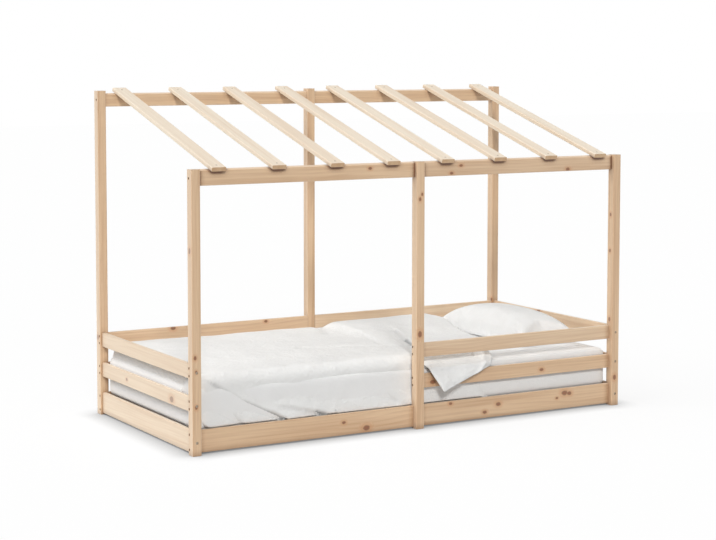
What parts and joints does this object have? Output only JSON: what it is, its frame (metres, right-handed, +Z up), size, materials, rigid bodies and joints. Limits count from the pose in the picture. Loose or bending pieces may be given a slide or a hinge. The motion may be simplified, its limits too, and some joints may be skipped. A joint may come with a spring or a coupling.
{
  "type": "house frame bed",
  "caption": "Child's house frame bed in untreated pine: six posts, sloping slat roof, guard rails, end boards, slatted base, mattress, duvet and pillow.",
  "frame": {"origin": "on the floor, under the middle of the frame", "axes": "+X from the foot end to the head end along the bed, -Y the open front side with the guard rails, +Z up"},
  "size_m": [2.082, 0.9896, 1.4122],
  "materials": {
    "pine": "untreated knotty pine, planed, edges eased",
    "base_pine": "untreated pine slats",
    "zinc_steel": "zinc plated",
    "webbing": "woven polypropylene strap",
    "sheet": "white cotton fitted sheet",
    "duvet": "white cotton duvet cover",
    "pillow": "white cotton pillow case"
  },
  "bodies": {
    "root": {"back_board_bottom_left": "pine", "back_board_bottom_right": "pine", "back_board_middle_left": "pine", "back_board_middle_right": "pine", "back_board_top_left": "pine", "back_board_top_right": "pine", "barrel_nuts": "zinc_steel", "base_slat_01": "base_pine", "base_slat_02": "base_pine", "base_slat_03": "base_pine", "base_slat_04": "base_pine", "base_slat_05": "base_pine", "base_slat_06": "base_pine", "base_slat_07": "base_pine", "base_slat_08": "base_pine", "base_slat_09": "base_pine", "base_slat_10": "base_pine", "base_slat_11": "base_pine", "base_slat_12": "base_pine", "base_slat_13": "base_pine", "duvet": "duvet", "foot_end_board_bottom": "pine", "foot_end_board_middle": "pine", "foot_end_board_top": "pine", "frame_bolts": "zinc_steel", "front_bottom_rail_left": "pine", "front_bottom_rail_right": "pine", "guard_rail_middle": "pine", "guard_rail_top": "pine", "head_end_board_bottom": "pine", "head_end_board_middle": "pine", "head_end_board_top": "pine", "ledger_back_left": "pine", "ledger_back_right": "pine", "ledger_front_left": "pine", "ledger_front_right": "pine", "ledger_screws": "zinc_steel", "mattress": "sheet", "middle_post_studs": "zinc_steel", "pillow": "pillow", "post_back_left": "pine", "post_back_middle": "pine", "post_back_right": "pine", "post_front_left": "pine", "post_front_middle": "pine", "post_front_right": "pine", "roof_screws": "zinc_steel", "roof_slat_1": "pine", "roof_slat_2": "pine", "roof_slat_3": "pine", "roof_slat_4": "pine", "roof_slat_5": "pine", "roof_slat_6": "pine", "roof_slat_7": "pine", "roof_slat_8": "pine", "slat_straps": "webbing", "top_rail_back_left": "pine", "top_rail_back_right": "pine", "top_rail_front_left": "pine", "top_rail_front_right": "pine"}
  },
  "joints": []
}
